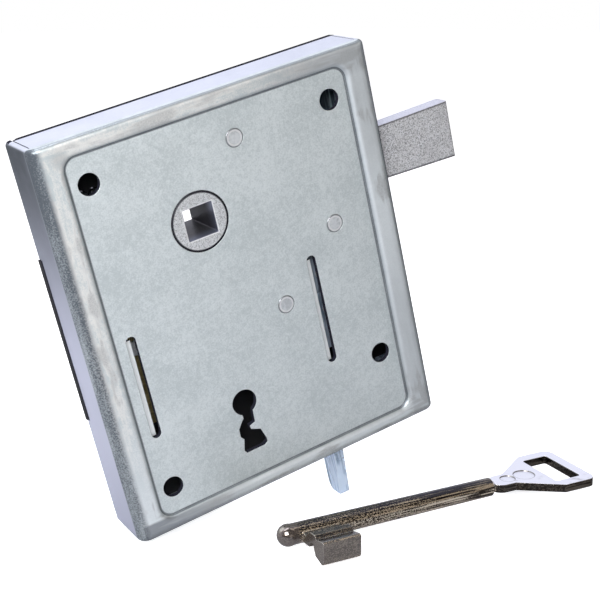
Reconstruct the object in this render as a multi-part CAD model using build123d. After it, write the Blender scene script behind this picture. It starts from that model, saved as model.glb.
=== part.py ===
from build123d import *
from math import atan2, cos, degrees, hypot, radians, sin, tan
import os

# Rim box lock with its key, in millimetres. Every piece is drawn in case coordinates: x from the
# left wall, y from the front of the rim towards the door, z from the bottom wall. The finished
# pieces are moved so that the origin is on the spindle axis, in the plane that lies on the door.

# Case: one folded sheet, open towards the door
case_width = 91.75
case_height = 105.6
wall_depth = 15.5
sheet = 1.5
side_bend = 3.2
end_bend = 1.2
corner_seam = 0.3

# Recessed panel of the face
panel_left = 6.85
panel_right = 7.25
panel_top = 3.95
panel_bottom = 3.5
panel_depth = 1.0
panel_slope = 0.6
panel_corner = 3.9
panel_roll = 1.8
panel_soften = 0.5

# Cover plate on the door side
cover_sheet = 1.0
cover_inset = 0.25
tongue_bottom = 31.2
tongue_length = 44.3
tongue_proud = 0.4
cover_corner = 1.5

# Clearances
fit_gap = 0.05
slide_gap = 0.2
free_gap = 0.3
backlash = 0.3
overrun = 2.0

# Wood screw holes, from the nearest walls
screw_hole = 5.5
screw_left = 12.3
screw_right = 13.3
screw_top = 12.0
screw_low_left = 11.4
screw_low_right = 22.3

# Spindle and keyhole: the spindle is placed from the left and top walls, the key from both
spindle_x = 36.9
spindle_drop = 30.1
spindle_square = 8.0
key_shift = 0.2
key_z = 25.2
keyhole_radius = 3.45
keyhole_reach = 13.9

# Corners of the keyhole below its circle, as shares of its reach: sideways, then down
keyhole_right_shares = (
    (0.124, 0.15),
    (0.124, 0.214),
    (0.112, 0.455),
    (-0.01, 0.497),
    (0.0, 0.57),
    (0.19, 0.65),
    (0.268, 0.898),
    (0.26, 0.952),
    (0.2, 0.994),
)
keyhole_left_shares = (
    (-0.192, 1.0),
    (-0.23, 0.935),
    (-0.18, 0.709),
    (-0.238, 0.641),
    (-0.232, 0.478),
    (-0.135, 0.344),
    (-0.098, 0.307),
    (-0.104, 0.222),
    (-0.104, 0.15),
)

# Riveted posts: shouldered pins whose ends are set flush in face and cover
rivet_end = 4.7
post_width = 6.0
tail_post_shift = 13.9
tail_post_rise = 17.0
divider_width = 7.0
divider_inset = 18.85
divider_rise = 36.9
lever_post_inset = 37.35
lever_post_rise = 21.0
rivet_proud = 0.15

# Lanced guide louvres
louvre_width = 2.6
louvre_sheet = 1.1
louvre_step = 0.2
louvre_shelf = 1.5
louvre_drop = 0.9
louvre_end = 0.4
left_louvre_x = 11.8
left_louvre_rise = 0.8
left_louvre_height = 28.2
right_louvre_inset = 27.75
right_louvre_rise = 0.4
right_louvre_height = 30.6

# Follower
hub_width = 15.3
hub_proud = 0.1
hub_edge = 0.35
rear_hub_width = 12.0
body_width = 18.0
arm_radius = 22.0
arm_tip = 3.0
arm_waist = 4.4
arm_rest_angle = 20.0
arm_thickness = 4.5
follower_turn = 40.0

# Latch
latch_rise = 5.8
latch_root_drop = 8.5
latch_flare = 1.2
latch_reach = 23.75
latch_front = 5.0
latch_thickness = 5.0
latch_edge = 0.8
tail_thickness = 3.2
tail_rise = 9.5
tail_height = 14.5
riser_inset = 29.75
riser_width = 11.5
lug_width = 7.8
lug_land = 4.2
spigot_width = 3.2
spigot_length = 6.0

# Latch spring, along x
latch_spring_width = 5.4
latch_wire = 0.9
latch_turns = 10
seat_flange = 1.0
seat_stud_length = 6.5

# Tumbler lever and its spring
lever_front = 5.3
lever_thickness = 2.0
lever_lift_angle = 5.5
lever_left = 8.6
lever_foot_rise = 2.8
lever_foot_width = 11.6
lever_height = 27.0
lever_bite = 1.4
lever_boss = 6.0
lever_pad_step = 4.0
lever_pad_left = 17.0
lever_pad_width = 6.0
lever_tongue = 2.0
lever_gate_steps = 6
tumbler_spring_width = 4.0
tumbler_wire = 0.6
tumbler_turns = 7
tumbler_spring_length = 10.5

# Deadbolt
deadbolt_throw = 14.0
deadbolt_rise = 8.8
deadbolt_height = 20.0
deadbolt_depth = 7.3
tail_plate_front = 7.6
tail_plate_thickness = 2.5
tail_plate_left = 8.0
tail_plate_inset = 16.75
pad_inset = 30.75
pad_width = 12.0
pad_drop = 6.4
talon_width = 14.0
talon_clearance = 0.7
talon_corner = 1.0
stump_shift = 6.0
stump_rise = 15.0
stump_width = 4.0
stump_shank_width = 3.0
lap_rivet_width = 4.0
lap_rivet_shift = 7.5
lap_rivet_inset = 5.0

# Bolt guide bracket inside the right wall
bracket_sheet = 1.4
bracket_bottom = 18.0
bracket_top_gap = 2.1
bracket_front = 3.4
bracket_flange = 8.25
bracket_bend = 3.2
bracket_rivet_width = 3.0
bracket_rivet_head = 5.0
bracket_rivet_head_height = 1.0
bracket_rivet_margin = 5.0

# Night bolt, its stud and its spring
night_travel = 10.0
night_bottom = 3.2
night_height = 12.0
night_sheet = 3.0
night_front = 9.9
thumb_inset = 32.45
thumb_front = 3.0
thumb_taper = 1.9
thumb_reach = 15.3
thumb_corner = 4.2
night_bend = 3.4
night_stud_inset = 13.75
night_stud_width = 4.0
night_spacer_width = 5.0
night_head_width = 7.0
night_head_height = 1.5
night_spring_length = 15.0
night_spring_width = 9.0
night_spring_sheet = 0.5

# Key: round shank with a rounded end, flat bow and warded bit
ball_width = 5.9
shank_width = 5.6
shank_bow_width = 5.1
bow_end = 89.8
bow_length = 21.5
bow_shoulder = 11.15
bow_width = 22.0
bow_neck_width = 6.6
bow_sheet = 2.3
bow_corner = 2.4
bow_shoulder_corner = 0.8
slot_length = 15.6
slot_width = 8.1
slot_margin = 3.15
slot_corner = 0.7
tongue_start = 62.1
shank_end = 63.2
shank_end_slope = 1.5
mark_x = 67.8
mark_width = 4.2
badge_x = 73.3
badge_width = 6.0
mark_depth = 0.2
bit_length = 10.7
bit_start = 2.9
bit_gap = 0.3

# Place of the key beside the lock: centre of its rounded end, and how it is turned
key_ball_x = 31.99
key_ball_y = -17.85
key_ball_z = -4.56
key_tilt = 12.9
key_yaw = -1.62

case_depth = wall_depth + cover_sheet
panel_inside = panel_depth + sheet
inner_right = case_width - sheet
inner_top = case_height - sheet
bracket_face = inner_right - bracket_sheet
spindle_z = case_height - spindle_drop
key_x = spindle_x - key_shift
tail_post_x = spindle_x + tail_post_shift
tail_post_z = spindle_z + tail_post_rise
divider_x = case_width - divider_inset
divider_z = key_z + divider_rise
lever_post_x = case_width - lever_post_inset
lever_post_z = key_z + lever_post_rise
left_louvre_bottom = key_z + left_louvre_rise
right_louvre_x = case_width - right_louvre_inset
right_louvre_bottom = key_z + right_louvre_rise
latch_top = spindle_z + latch_rise
latch_root_bottom = spindle_z - latch_root_drop
latch_tip_bottom = latch_root_bottom - latch_flare
latch_tip_x = case_width + latch_reach
tail_bottom = spindle_z + tail_rise
tail_top = tail_bottom + tail_height
riser_left = case_width - riser_inset
latch_rear = latch_front + latch_thickness
tail_rear = latch_front + tail_thickness
arm_front = tail_rear + free_gap
arm_rear = arm_front + arm_thickness
body_front = panel_inside + fit_gap * 2
body_rear = wall_depth - fit_gap * 2
bit_reach = keyhole_reach - bit_gap
lever_foot_bottom = key_z + lever_foot_rise
lever_top = lever_foot_bottom + lever_height
lever_belly = key_z + bit_reach - lever_bite
lever_pad_height = lever_top + lever_pad_step
lever_rear = lever_front + lever_thickness
tail_plate_rear = tail_plate_front + tail_plate_thickness
deadbolt_rear = lever_front + deadbolt_depth
deadbolt_bottom = key_z + deadbolt_rise
tail_plate_right = case_width - tail_plate_inset
pad_left = case_width - pad_inset
pad_bottom = deadbolt_bottom - pad_drop
stump_x = tail_plate_left + stump_shift
stump_z = deadbolt_bottom + stump_rise
lap_rivet_x = pad_left + lap_rivet_shift
thumb_left = case_width - thumb_inset
night_stud_x = case_width - night_stud_inset
bracket_top = inner_top - bracket_top_gap
night_rear = night_front + night_sheet
divider_top = divider_z + divider_width / 2
divider_foot = divider_z - divider_width / 2


def box(x0, x1, y0, y1, z0, z1):
    return Pos(x0, y0, z0) * Box(x1 - x0, y1 - y0, z1 - z0, align=(Align.MIN, Align.MIN, Align.MIN))


def rod(x, z, width, y0, y1):
    """Round bar along y."""
    disc = Plane.XZ.offset(-y1) * Pos(x, z) * Circle(width / 2)
    return extrude(disc, amount=y1 - y0)


def plate(outline, y0, y1):
    """Flat piece parallel to the face, from an outline drawn in x and z."""
    return extrude(Plane.XZ.offset(-y1) * outline, amount=y1 - y0)


def outline(*points):
    return make_face(Polyline(*points, close=True))


def slot_outline(x0, x1, z, width):
    """Level slot with round ends, whose end centres are at x0 and x1."""
    middle = (x0 + x1) / 2
    return Pos(middle, z) * SlotCenterToCenter(x1 - x0, width)


def vertical_edges(shape, low_x, high_x):
    """Edges along z whose middle lies between two values of x."""
    edges = shape.edges().filter_by(Axis.Z)
    return edges.filter_by(lambda edge: low_x <= edge.center().X <= high_x)


# The same holes pass through the face and the cover

def screw_places():
    left = screw_left
    right = case_width - screw_right
    top = case_height - screw_top
    return [(left, top), (right, top), (left, screw_low_left), (right, screw_low_right)]


def post_places():
    return [
        (tail_post_x, tail_post_z),
        (divider_x, divider_z),
        (lever_post_x, lever_post_z),
    ]


def warded_outline():
    """Part of the keyhole below its circle, hanging from the key axis."""
    shares = keyhole_right_shares + keyhole_left_shares
    return outline(*[(side * keyhole_reach, -down * keyhole_reach) for side, down in shares])


def keyhole_outline():
    return Pos(key_x, key_z) * (Circle(keyhole_radius) + warded_outline())


def panel_prism(y0, grow):
    """Shallow block with sloping sides, one panel depth thick, larger by grow on every side."""
    width = case_width - panel_left - panel_right + grow * 2
    height = case_height - panel_top - panel_bottom + grow * 2
    middle_x = (panel_left + case_width - panel_right) / 2
    middle_z = (panel_bottom + case_height - panel_top) / 2
    place = Pos(middle_x, middle_z)
    mouth = Plane.XZ.offset(-y0) * place * RectangleRounded(width, height, panel_corner + grow)
    step = panel_slope * 2
    floor_plane = Plane.XZ.offset(-y0 - panel_depth)
    floor = floor_plane * place * RectangleRounded(width - step, height - step, panel_corner + grow - panel_slope)
    return loft([mouth.face(), floor.face()], ruled=True)


def louvre_opening(x, bottom, height):
    slot = SlotCenterToCenter(height - louvre_width, louvre_width)
    upright = Pos(x, bottom + height / 2) * Rot(0, 0, 90) * slot
    return plate(upright, -overrun, panel_inside + overrun)


def louvre_lip(x, bottom, height):
    """Strip of the face that stays joined along the left of its opening and is pressed inwards as a shelf."""
    root = x - louvre_width / 2
    joined = root - louvre_sheet / 2
    front = panel_depth + louvre_step
    shelf = front + louvre_drop
    section = outline(
        (joined, front),
        (root, front),
        (root + louvre_step, shelf),
        (root + louvre_shelf, shelf),
        (root + louvre_shelf, shelf + louvre_sheet),
        (joined, panel_inside),
    )
    length = height - louvre_end - louvre_width / 2
    return extrude(Plane.XY.offset(bottom + louvre_end) * section, amount=length)


def wall_slots(grow):
    """Openings in the right wall and its bracket for the three bolts, as one tool."""
    ends = (bracket_face - overrun, case_width + overrun)
    latch_low = (latch_root_bottom + latch_tip_bottom) / 2 - grow * 2
    latch = box(*ends, latch_front - grow, latch_rear + grow, latch_low, latch_top + grow)
    dead_top = deadbolt_bottom + deadbolt_height + grow
    dead = box(*ends, lever_front - grow, deadbolt_rear + grow, deadbolt_bottom - grow, dead_top)
    night_top = night_bottom + night_height + grow
    night = box(*ends, night_front - grow, night_rear + grow, night_bottom - grow, night_top)
    return latch + dead + night


def case_shell():
    body = box(0, case_width, 0, case_depth, 0, case_height)
    front = body.faces().sort_by(Axis.Y)[0]
    body = fillet(front.edges().filter_by(Axis.Z), side_bend)
    body = fillet(body.edges().filter_by(Axis.X).sort_by(Axis.Y)[:2], end_bend)
    hollow = box(sheet, inner_right, sheet, case_depth + overrun, sheet, case_height - sheet)
    hollow = fillet(hollow.faces().sort_by(Axis.Y)[0].edges().filter_by(Axis.Z), side_bend - sheet)
    shell = body - hollow
    open_end = case_depth + overrun
    shell -= box(sheet, case_width + overrun, wall_depth, open_end, -overrun, case_height + overrun)
    notch_top = tongue_bottom + tongue_length + slide_gap
    shell -= box(-overrun, sheet + overrun, wall_depth, open_end, tongue_bottom - slide_gap, notch_top)
    for x0 in (sheet, inner_right - corner_seam):
        for z0 in (-overrun, case_height - sheet):
            shell -= box(x0, x0 + corner_seam, side_bend, open_end, z0, z0 + sheet + overrun)
    shell += panel_prism(sheet, panel_soften)
    shell -= panel_prism(0, 0)
    front = shell.edges().filter_by_position(Axis.Y, -fit_gap, fit_gap)
    mouth = front.filter_by(lambda edge: away_from_walls(edge.center()))
    return fillet(mouth, panel_roll)


def away_from_walls(point):
    """Whether a point is on the mouth of the panel rather than on a bend."""
    across = min(point.X, case_width - point.X) > min(panel_left, panel_right) - fit_gap
    return across and min(point.Z, case_height - point.Z) > min(panel_top, panel_bottom) - fit_gap


def face_holes():
    through = panel_inside + overrun
    holes = rod(spindle_x, spindle_z, hub_width + fit_gap * 4, -overrun, through)
    holes += plate(keyhole_outline(), -overrun, through)
    for x, z in screw_places():
        holes += rod(x, z, screw_hole, -overrun, through)
    for x, z in post_places():
        holes += rod(x, z, rivet_end + fit_gap * 2, -overrun, through)
    return holes


def finished_case():
    shell = case_shell() - face_holes()
    louvres = [
        (left_louvre_x, left_louvre_bottom, left_louvre_height),
        (right_louvre_x, right_louvre_bottom, right_louvre_height),
    ]
    for place in louvres:
        shell -= louvre_opening(*place)
        shell += louvre_lip(*place)
    shell -= wall_slots(slide_gap)
    for z in bracket_rivet_rows():
        shell -= bracket_rivet_hole(z)
    thumb_right = thumb_left + night_sheet + night_travel + slide_gap
    shell -= box(
        thumb_left - slide_gap,
        thumb_right,
        thumb_front - slide_gap,
        night_rear + slide_gap,
        -overrun,
        sheet + overrun,
    )
    return shell


def cover_plate():
    left = sheet + cover_inset
    flat = box(left, case_width, wall_depth, case_depth, 0, case_height)
    flat = fillet(flat.edges().filter_by(Axis.Y), cover_corner)
    tongue_top = tongue_bottom + tongue_length
    tongue_right = left + cover_corner
    tongue = box(-tongue_proud, tongue_right, wall_depth, case_depth, tongue_bottom, tongue_top)
    body = flat + tongue
    rear = case_depth + overrun
    front = wall_depth - overrun
    body -= rod(spindle_x, spindle_z, rear_hub_width + fit_gap * 2, front, rear)
    body -= plate(keyhole_outline(), front, rear)
    for x, z in screw_places():
        body -= rod(x, z, screw_hole, front, rear)
    for x, z in post_places():
        body -= rod(x, z, rivet_end + fit_gap * 2, front, rear)
    body -= rod(night_stud_x, night_bottom + night_height / 2, night_stud_width + fit_gap * 2, front, rear)
    shelf_z = lever_pad_height + tumbler_spring_length
    shelf_right = lever_pad_left + lever_pad_width
    shelf_top = shelf_z + cover_sheet
    shelf_front = lever_front + lever_thickness / 2 - tumbler_spring_width / 2
    body += box(lever_pad_left, shelf_right, shelf_front, wall_depth, shelf_z, shelf_top)
    window_top = shelf_top + wall_depth - shelf_front
    body -= box(lever_pad_left, shelf_right, front, rear, shelf_top, window_top)
    return body


def post(x, z, width):
    body = rod(x, z, width, panel_inside, wall_depth)
    front_end = rod(x, z, rivet_end, panel_depth - rivet_proud, panel_inside)
    rear_end = rod(x, z, rivet_end, wall_depth, case_depth - fit_gap)
    tip = front_end.edges().sort_by(Axis.Y)[0]
    front_end = chamfer(tip, rivet_proud)
    return body + front_end + rear_end


def arm_outline():
    """Follower arm along its own axis: the back edge rests against the tail post."""
    post_x = tail_post_x - spindle_x
    post_z = tail_post_z - spindle_z
    post_radius = hypot(post_x, post_z)
    post_angle = degrees(atan2(post_x, post_z)) - arm_rest_angle
    back = post_radius * sin(radians(post_angle)) - post_width / 2 - fit_gap * 2
    back_length = post_radius * cos(radians(post_angle))
    bar = Pos(0, arm_radius / 2) * Rectangle(arm_waist, arm_radius)
    heel = outline((0, 0), (back, 0), (back, back_length), (0, back_length + back / 2))
    return bar + heel + Pos(0, arm_radius) * Circle(arm_tip)


def follower():
    body = rod(spindle_x, spindle_z, body_width, body_front, body_rear)
    front_hub = rod(spindle_x, spindle_z, hub_width, panel_depth - hub_proud, body_front)
    front_hub = chamfer(front_hub.edges().sort_by(Axis.Y)[0], hub_edge)
    rear_hub = rod(spindle_x, spindle_z, rear_hub_width, body_rear, case_depth - fit_gap)
    arm = plate(Pos(spindle_x, spindle_z) * Rot(0, 0, -arm_rest_angle) * arm_outline(), arm_front, arm_rear)
    square = Pos(spindle_x, spindle_z) * Rectangle(spindle_square, spindle_square)
    return body + front_hub + rear_hub + arm - plate(square, -overrun, case_depth + overrun)


def latch_travel():
    """Way of the arm tip across the lock over the whole turn of the follower."""
    end_angle = follower_turn - arm_rest_angle
    return arm_radius * (sin(radians(arm_rest_angle)) + sin(radians(end_angle)))


def lug_face():
    """Face of the latch lug that the arm tip pushes."""
    return spindle_x + arm_radius * sin(radians(arm_rest_angle)) - arm_tip - backlash


def latch_bolt():
    stop = bracket_face - fit_gap
    slope = (latch_root_bottom - latch_tip_bottom) / (latch_tip_x - case_width)
    shoulder = latch_root_bottom + slope * (case_width - stop)
    head = plate(
        outline(
            (riser_left, divider_top + fit_gap),
            (stop, divider_top + fit_gap),
            (stop, shoulder),
            (latch_tip_x, latch_tip_bottom),
            (latch_tip_x, latch_top),
            (riser_left, latch_top),
        ),
        latch_front,
        latch_rear,
    )
    head = fillet(vertical_edges(head, latch_tip_x - fit_gap, latch_tip_x + fit_gap), latch_edge)
    riser = box(riser_left, riser_left + riser_width, latch_front, tail_rear, latch_top - overrun, tail_top)
    face = lug_face()
    left = face - lug_width
    tail = box(left, riser_left + riser_width, latch_front, tail_rear, tail_bottom, tail_top)
    start = tail_post_x
    reach = latch_travel() + slide_gap
    slot = slot_outline(start, start + reach, tail_post_z, post_width + fit_gap * 2)
    lean = tan(radians(arm_rest_angle)) * (tail_top - lug_land - tail_bottom)
    lug = plate(
        outline(
            (left, tail_bottom),
            (face - lean, tail_bottom),
            (face, tail_top - lug_land),
            (face, tail_top),
            (left, tail_top),
        ),
        tail_rear,
        arm_rear,
    )
    spring_y, spring_z = latch_spring_axis()
    spigot = x_rod(left - spigot_length, left, spring_y, spring_z, spigot_width)
    return head + riser + tail + lug + spigot - plate(slot, latch_front - overrun, tail_rear)


def x_rod(x0, x1, y, z, width):
    """Round bar along x."""
    disc = Plane.YZ.offset(x0) * Pos(y, z) * Circle(width / 2)
    return extrude(disc, amount=x1 - x0)


def latch_spring_axis():
    return (latch_front + arm_rear) / 2, tail_bottom + latch_spring_width / 2


def coil(width, wire, turns, length):
    """Unbroken coil along z, from zero to its length, with the wire inside both ends."""
    run = length - wire - fit_gap * 2
    radius = (width - wire) / 2
    path = Pos(0, 0, wire / 2 + fit_gap) * Helix(run / turns, run, radius)
    start = path @ 0
    ring = Plane(origin=start, z_dir=path % 0) * Circle(wire / 2)
    return sweep(ring, path=path)


def latch_spring():
    start = sheet + seat_flange
    length = lug_face() - lug_width - start
    spring_y, spring_z = latch_spring_axis()
    spring = coil(latch_spring_width, latch_wire, latch_turns, length)
    return Pos(start, spring_y, spring_z) * Rot(0, 90, 0) * spring


def latch_spring_stud():
    spring_y, spring_z = latch_spring_axis()
    flange = x_rod(sheet, sheet + seat_flange, spring_y, spring_z, latch_spring_width)
    stud = x_rod(sheet, sheet + seat_stud_length, spring_y, spring_z, spigot_width)
    return flange + chamfer(stud.edges().sort_by(Axis.X)[-1], fit_gap * 6)


def stump_in_lever(share):
    """Place of the stump as the lever sees it, after a share of the throw."""
    away_x = stump_x + deadbolt_throw * share - lever_post_x
    away_z = stump_z - lever_post_z
    turned = radians(lever_lift_angle * share)
    x = away_x * cos(turned) - away_z * sin(turned)
    z = away_x * sin(turned) + away_z * cos(turned)
    return lever_post_x + x, lever_post_z + z


def tumbler_lever():
    foot_right = lever_left + lever_foot_width
    pad_right = lever_pad_left + lever_pad_width
    neck_top = lever_post_z + lever_boss
    belly_right = key_x + bit_reach
    body = outline(
        (lever_left, lever_foot_bottom + lever_boss / 2),
        (lever_left + lever_boss / 2, lever_foot_bottom),
        (foot_right, lever_foot_bottom),
        (foot_right + lever_boss / 2, lever_belly),
        (belly_right - lever_boss, lever_belly),
        (lever_post_x, lever_post_z - lever_boss),
        (lever_post_x, neck_top),
        (pad_right + lever_boss, lever_top),
        (pad_right, lever_top),
        (pad_right, lever_pad_height),
        (lever_pad_left, lever_pad_height),
        (lever_pad_left, lever_top),
        (lever_left, lever_top),
    )
    middle = lever_pad_left + lever_pad_width / 2
    tongue = Pos(middle, lever_pad_height) * Rectangle(tumbler_spring_width / 2, lever_tongue * 2)
    lever = plate(body + tongue, lever_front, lever_rear)
    lever += rod(lever_post_x, lever_post_z, lever_boss * 2, lever_front, lever_rear)
    lever -= rod(lever_post_x, lever_post_z, post_width + fit_gap * 2, 0, case_depth)
    gate_width = stump_width + slide_gap * 2
    places = [stump_in_lever(step / lever_gate_steps) for step in range(lever_gate_steps + 1)]
    for start, end in zip(places, places[1:]):
        lever -= gate_piece(start, end, gate_width)
    return lever


def gate_piece(start, end, width):
    """One straight length of the gate, with round ends."""
    run_x = end[0] - start[0]
    run_z = end[1] - start[1]
    angle = degrees(atan2(run_z, run_x))
    middle = ((start[0] + end[0]) / 2, (start[1] + end[1]) / 2)
    piece = Pos(*middle) * Rot(0, 0, angle) * SlotCenterToCenter(hypot(run_x, run_z), width)
    return plate(piece, 0, case_depth)


def tumbler_spring():
    middle_x = lever_pad_left + lever_pad_width / 2
    middle_y = lever_front + lever_thickness / 2
    spring = coil(tumbler_spring_width, tumbler_wire, tumbler_turns, tumbler_spring_length)
    return Pos(middle_x, middle_y, lever_pad_height) * spring


def deadbolt_top():
    return divider_foot - slide_gap


def deadbolt_tail():
    top = deadbolt_top()
    body = outline(
        (tail_plate_left, deadbolt_bottom),
        (tail_plate_right, deadbolt_bottom),
        (tail_plate_right, deadbolt_bottom + deadbolt_height),
        (pad_left + pad_width, deadbolt_bottom + deadbolt_height),
        (pad_left + pad_width, top),
        (tail_plate_left, top),
    )
    tail = plate(body, tail_plate_front, tail_plate_rear)
    talon_right = key_x
    talon_top = key_z + bit_reach + talon_clearance
    height = talon_top - deadbolt_bottom + overrun
    middle = (talon_right - talon_width / 2, talon_top - height / 2)
    talon = Pos(*middle) * RectangleRounded(talon_width, height, talon_corner)
    tail -= plate(talon, 0, case_depth)
    slot_start = lever_post_x - deadbolt_throw - slide_gap
    slot = slot_outline(slot_start, lever_post_x, lever_post_z, post_width + fit_gap * 2)
    tail -= plate(slot, 0, case_depth)
    tail -= rod(stump_x, stump_z, stump_shank_width + fit_gap * 2, 0, case_depth)
    for z in lap_rivet_rows():
        tail -= rod(lap_rivet_x, z, lap_rivet_width + fit_gap * 2, 0, case_depth)
    return tail


def lap_rivet_rows():
    return deadbolt_bottom + lap_rivet_inset, deadbolt_bottom + deadbolt_height - lap_rivet_inset


def deadbolt_head():
    low = deadbolt_bottom
    high = deadbolt_bottom + deadbolt_height
    pad = box(pad_left, pad_left + pad_width, lever_front, tail_plate_front, pad_bottom, deadbolt_top())
    bridge = box(pad_left, tail_plate_right + overrun, lever_front, tail_plate_front, low, high)
    end = case_width - fit_gap
    block = box(tail_plate_right + fit_gap, end, lever_front, deadbolt_rear, low, high)
    block = chamfer(vertical_edges(block, end - fit_gap, end + fit_gap), latch_edge / 2)
    head = pad + bridge + block
    for z in lap_rivet_rows():
        head -= rod(lap_rivet_x, z, lap_rivet_width + fit_gap * 2, 0, tail_plate_front)
    return head


def deadbolt_rivets():
    rear = tail_plate_rear + bracket_rivet_head_height
    pieces = []
    for z in lap_rivet_rows():
        shank = rod(lap_rivet_x, z, lap_rivet_width, lever_front + fit_gap, rear)
        head = rod(lap_rivet_x, z, lap_rivet_width + stump_width / 2, tail_plate_rear, rear)
        pieces.append(shank + head)
    return Compound(children=pieces)


def lever_stump():
    pin = rod(stump_x, stump_z, stump_width, lever_front + fit_gap, tail_plate_front)
    shank = rod(stump_x, stump_z, stump_shank_width, tail_plate_front, tail_plate_rear)
    head_rear = tail_plate_rear + bracket_rivet_head_height / 2
    return pin + shank + rod(stump_x, stump_z, stump_width, tail_plate_rear, head_rear)


def bolt_guide_bracket():
    upright = box(bracket_face, inner_right, bracket_front, wall_depth, bracket_bottom, bracket_top)
    left = inner_right - bracket_flange
    flange = box(left, inner_right, wall_depth - bracket_sheet, wall_depth, bracket_bottom, bracket_top)
    bracket = upright + flange
    outer = bracket.edges().filter_by(Axis.Z).sort_by_distance((inner_right, wall_depth, case_height / 2))[0]
    bracket = fillet(outer, bracket_bend)
    inner_y = wall_depth - bracket_sheet
    inner = bracket.edges().filter_by(Axis.Z).sort_by_distance((bracket_face, inner_y, case_height / 2))[0]
    bracket = fillet(inner, bracket_bend - bracket_sheet)
    bracket -= wall_slots(slide_gap)
    for z in bracket_rivet_rows():
        bracket -= bracket_rivet_hole(z)
    return bracket


def bracket_rivet_rows():
    """Below the deadbolt, between deadbolt and latch, and above the latch."""
    return bracket_bottom + bracket_rivet_margin, divider_z, bracket_top - bracket_rivet_margin


def bracket_rivet_hole(z):
    hole_width = bracket_rivet_width + fit_gap * 2
    return x_rod(bracket_face - overrun, case_width + overrun, case_depth / 2, z, hole_width)


def bracket_rivets():
    pieces = []
    for z in bracket_rivet_rows():
        y = case_depth / 2
        shank = x_rod(bracket_face - bracket_rivet_head_height, case_width, y, z, bracket_rivet_width)
        head = x_rod(bracket_face - bracket_rivet_head_height, bracket_face, y, z, bracket_rivet_head)
        pieces.append(shank + head)
    return Compound(children=pieces)


def night_bolt():
    thumb_right = thumb_left + night_sheet
    end = case_width - fit_gap
    night_top = night_bottom + night_height
    bar = box(thumb_left, end, night_front, night_rear, night_bottom, night_top)
    side = Plane.YZ.offset(thumb_left) * make_face(
        Polyline(
            (thumb_front, night_top),
            (thumb_front, 0),
            (thumb_front + thumb_taper, -thumb_reach),
            (night_rear - thumb_corner, -thumb_reach),
            (night_rear, thumb_corner - thumb_reach),
            (night_rear, night_top),
            close=True,
        )
    )
    tab = extrude(side, amount=night_sheet)
    bolt = bar + tab
    middle_z = night_top / 2
    outer = bolt.edges().filter_by(Axis.Z).sort_by_distance((thumb_left, night_rear, middle_z))[0]
    bolt = fillet(outer, night_bend)
    slot_end = night_stud_x - night_travel - slide_gap
    slot = slot_outline(slot_end, night_stud_x, night_bottom + night_height / 2, night_stud_width + fit_gap * 2)
    return bolt - plate(slot, 0, case_depth)


def night_bolt_stud():
    z = night_bottom + night_height / 2
    spacer = rod(night_stud_x, z, night_spacer_width, night_rear + fit_gap, wall_depth)
    neck = rod(night_stud_x, z, night_stud_width, night_front - fit_gap * 2, case_depth - fit_gap)
    head_front = night_front - fit_gap * 2 - night_head_height
    head = rod(night_stud_x, z, night_head_width, head_front, night_front - fit_gap * 2)
    return spacer + neck + head


def night_bolt_spring():
    """Bowed leaf between cover and bolt, held round the stud."""
    z = night_bottom + night_height / 2
    half = night_spring_length / 2
    rise = wall_depth - night_rear - night_spring_sheet - fit_gap * 2
    outer = ThreePointArc(
        (night_stud_x - half, wall_depth - fit_gap),
        (night_stud_x, wall_depth - fit_gap - rise),
        (night_stud_x + half, wall_depth - fit_gap),
    )
    inner = ThreePointArc(
        (night_stud_x + half, wall_depth - fit_gap - night_spring_sheet),
        (night_stud_x, wall_depth - fit_gap - rise - night_spring_sheet),
        (night_stud_x - half, wall_depth - fit_gap - night_spring_sheet),
    )
    section = make_face([outer, Line(outer @ 1, inner @ 0), inner, Line(inner @ 1, outer @ 0)])
    leaf = extrude(Plane.XY.offset(z - night_spring_width / 2) * section, amount=night_spring_width)
    return leaf - rod(night_stud_x, z, night_spacer_width + slide_gap, 0, case_depth)


# Key, drawn along x with its rounded end at the origin side, bow flat in x and y, bit towards -y

def key_shank():
    rounded = Sphere(ball_width / 2)
    start = Plane.YZ * Circle(shank_width / 2)
    end = Plane.YZ.offset(shank_end) * Circle(shank_bow_width / 2)
    shank = loft([start.face(), end.face()])
    return rounded + chamfer(shank.edges().sort_by(Axis.X)[-1], shank_end_slope)


def key_bow():
    left = bow_end - bow_length
    half = bow_width / 2
    neck = bow_neck_width / 2
    body = outline(
        (left, neck),
        (left + bow_shoulder, half),
        (bow_end, half),
        (bow_end, -half),
        (left + bow_shoulder, -half),
        (left, -neck),
    )
    shoulder = left + bow_shoulder
    body = fillet(body.vertices().filter_by(lambda vertex: vertex.X > shoulder + fit_gap), bow_corner)
    outer = body.vertices().filter_by(lambda vertex: abs(vertex.X - shoulder) < fit_gap)
    body = fillet(outer, bow_shoulder_corner)
    tongue_end = left + neck
    tongue_middle = (tongue_start + tongue_end) / 2
    tongue = Pos(tongue_middle, 0) * SlotOverall(tongue_end - tongue_start, bow_neck_width)
    slot_x = bow_end - slot_margin - slot_width / 2
    slot = Pos(slot_x, 0) * RectangleRounded(slot_width, slot_length, slot_corner)
    return extrude(body + tongue - slot, amount=bow_sheet / 2, both=True)


def key_marks():
    """Two shallow round dishes in the upper side of the bow."""
    dishes = []
    for x, width in ((mark_x, mark_width), (badge_x, badge_width)):
        face = Plane.XY.offset(bow_sheet / 2 - mark_depth) * Pos(x, 0) * Circle(width / 2)
        dishes.append(extrude(face, amount=overrun))
    return dishes[0] + dishes[1]


def key_bit():
    """The keyhole less a gap all round, with the left of the keyhole facing up."""
    section = offset(warded_outline(), amount=-bit_gap, kind=Kind.INTERSECTION)
    return extrude(Plane.YZ.offset(bit_start) * Rot(0, 0, -90) * section, amount=bit_length)


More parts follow.
